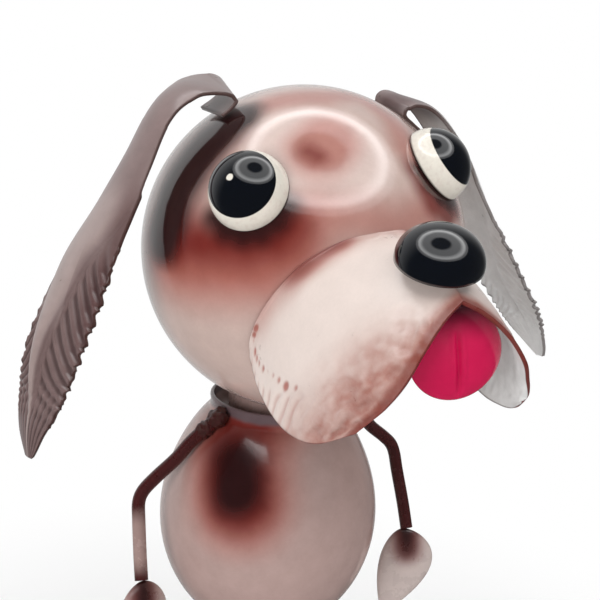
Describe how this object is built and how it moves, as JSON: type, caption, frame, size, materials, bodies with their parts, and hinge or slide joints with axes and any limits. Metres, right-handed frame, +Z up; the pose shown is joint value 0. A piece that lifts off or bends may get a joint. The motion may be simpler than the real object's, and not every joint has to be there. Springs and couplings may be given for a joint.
{
  "type": "scrap metal dog sculpture",
  "caption": "Standing dog figure of painted sheet steel: ball head, folded muzzle, domed tongue, hooked leaf ears, egg body and bent rod limbs on a low round base.",
  "frame": {"origin": "centre of the underside of the round base plate", "axes": "+Z up; the dog faces -Y and its left side is +X"},
  "size_m": [0.2024, 0.1787, 0.2899],
  "materials": {
    "head_enamel": "gloss",
    "body_enamel": "gloss",
    "muzzle_enamel": "satin",
    "black_enamel": "gloss",
    "tongue_enamel": "gloss",
    "ear_enamel": "satin",
    "limb_enamel": "satin",
    "paw_enamel": "satin",
    "base_enamel": "satin"
  },
  "bodies": {
    "root": {"head": "head_enamel", "eye_right": "black_enamel", "eye_left": "black_enamel", "muzzle": "muzzle_enamel", "nose": "black_enamel", "tongue": "tongue_enamel", "ear_right": "ear_enamel", "ear_left": "ear_enamel", "body": "body_enamel", "neck_collar": "limb_enamel", "arm_right": "limb_enamel", "arm_left": "limb_enamel", "paw_right": "paw_enamel", "paw_left": "paw_enamel", "leg_right": "limb_enamel", "leg_left": "limb_enamel", "foot_right": "paw_enamel", "foot_left": "paw_enamel", "base": "base_enamel"}
  },
  "joints": []
}
